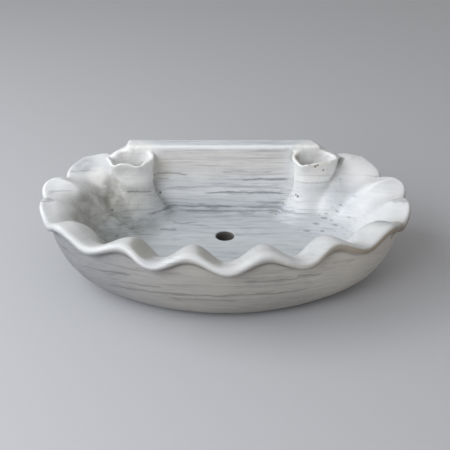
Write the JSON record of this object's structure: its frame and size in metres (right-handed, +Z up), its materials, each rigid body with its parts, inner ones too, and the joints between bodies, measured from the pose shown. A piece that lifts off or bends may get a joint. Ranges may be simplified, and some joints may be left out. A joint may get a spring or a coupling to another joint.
{
  "type": "wash basin",
  "caption": "D-shaped wash basin carved from one block of marble, with a waved rim, a raised flat back ledge, flower-shaped cup wells at the back corners and a bare round drain hole.",
  "frame": {"origin": "centre of the bounding box in plan, on the floor under the flat foot", "axes": "+X to the right along the flat back, +Y towards the flat back that stands at a wall, +Z up; the waved front looks towards -Y"},
  "size_m": [0.5954, 0.3468, 0.166],
  "materials": {
    "marble": "honed white marble with grey veins along its bedding"
  },
  "bodies": {
    "root": {"basin": "marble"}
  },
  "joints": []
}
